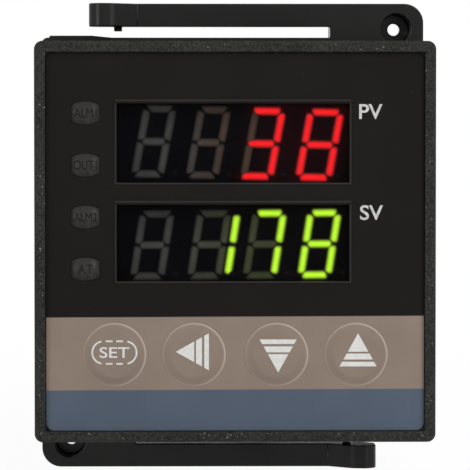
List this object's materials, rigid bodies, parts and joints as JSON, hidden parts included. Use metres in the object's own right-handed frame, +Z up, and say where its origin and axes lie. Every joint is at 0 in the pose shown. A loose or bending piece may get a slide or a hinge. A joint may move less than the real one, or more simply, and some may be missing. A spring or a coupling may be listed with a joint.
{
  "type": "pid temperature controller",
  "caption": "Square panel-mount temperature controller with seven-segment displays, pressable keys, indicator lamps, a deep case with rear screw terminals and a sliding sprung bracket.",
  "frame": {"origin": "centre of the panel cut-out, in the plane where the back of the bezel meets the panel", "axes": "+X to the right of someone facing the display, +Y into the panel along the case, +Z up; the display faces -Y"},
  "size_m": [0.048, 0.11, 0.0584],
  "materials": {
    "bezel_abs": "fine spark-eroded moulded ABS, satin",
    "printed_film": "velvet polyester film with printed bands",
    "smoked_acrylic": "smoked acrylic, polished",
    "display_epoxy": "black printed display face",
    "lit_red": "lit red segments",
    "lit_green": "lit yellow-green segments",
    "unlit_segment": "unlit diffusing epoxy",
    "light_guide_acrylic": "grey translucent acrylic, unlit",
    "led_package": "white LED package",
    "circuit_board": "green solder mask on glass epoxy",
    "black_nylon": "moulded nylon",
    "ferrite_and_tape": "wound core in yellow tape",
    "capacitor_sleeve": "shrunk PVC sleeve",
    "film_capacitor_case": "potted plastic box",
    "varistor_lacquer": "dipped lacquer",
    "black_epoxy": "moulded epoxy",
    "relay_cover": "relay cover",
    "plunger_acetal": "moulded acetal",
    "switch_housing": "tactile switch housing",
    "case_abs": "spark-eroded moulded ABS",
    "terminal_polymer": "glass-filled moulded polymer",
    "tinned_brass": "tin-plated",
    "zinc_plated_steel": "bright zinc plating",
    "bracket_nylon": "moulded nylon, slightly glossy"
  },
  "bodies": {
    "instrument": {"alarm_one_light_guide": "light_guide_acrylic", "alarm_relay": "relay_cover", "alarm_two_light_guide": "light_guide_acrylic", "autotune_light_guide": "light_guide_acrylic", "board_headers": "black_nylon", "bridge_rectifier": "black_epoxy", "case_shell": "case_abs", "control_board": "circuit_board", "display_board": "circuit_board", "down_key_switch": "switch_housing", "electrolytic_capacitor": "capacitor_sleeve", "film_capacitor": "film_capacitor_case", "front_bezel": "bezel_abs", "front_overlay": "printed_film", "indicator_leds": "led_package", "microcontroller": "black_epoxy", "optocoupler": "black_epoxy", "output_one_light_guide": "light_guide_acrylic", "output_relay": "relay_cover", "power_board": "circuit_board", "pv_display": "display_epoxy", "pv_filter": "smoked_acrylic", "pv_lit_segments": "lit_red", "pv_unlit_segments": "unlit_segment", "set_key_switch": "switch_housing", "shift_key_switch": "switch_housing", "sv_display": "display_epoxy", "sv_filter": "smoked_acrylic", "sv_lit_segments": "lit_green", "sv_unlit_segments": "unlit_segment", "terminal_block": "terminal_polymer", "terminal_screws": "zinc_plated_steel", "terminal_tabs": "tinned_brass", "terminal_washers": "zinc_plated_steel", "transformer": "ferrite_and_tape", "up_key_switch": "switch_housing", "varistor": "varistor_lacquer"},
    "bracket": {"mounting_bracket": "bracket_nylon"},
    "set_key": {"set_key": "printed_film", "set_key_plunger": "plunger_acetal"},
    "shift_key": {"shift_key": "printed_film", "shift_key_plunger": "plunger_acetal"},
    "down_key": {"down_key": "printed_film", "down_key_plunger": "plunger_acetal"},
    "up_key": {"up_key": "printed_film", "up_key_plunger": "plunger_acetal"}
  },
  "joints": [
    {"name": "bracket_slide", "type": "slide", "parent": "instrument", "child": "bracket", "axis": [0, 1, 0], "range_m": [-0.008, 0.095]},
    {"name": "set_key_press", "type": "slide", "parent": "instrument", "child": "set_key", "axis": [0, 1, 0], "range_m": [0, 0.00025], "stiffness_N_per_m": 4000},
    {"name": "shift_key_press", "type": "slide", "parent": "instrument", "child": "shift_key", "axis": [0, 1, 0], "range_m": [0, 0.00025], "stiffness_N_per_m": 4000},
    {"name": "down_key_press", "type": "slide", "parent": "instrument", "child": "down_key", "axis": [0, 1, 0], "range_m": [0, 0.00025], "stiffness_N_per_m": 4000},
    {"name": "up_key_press", "type": "slide", "parent": "instrument", "child": "up_key", "axis": [0, 1, 0], "range_m": [0, 0.00025], "stiffness_N_per_m": 4000}
  ]
}
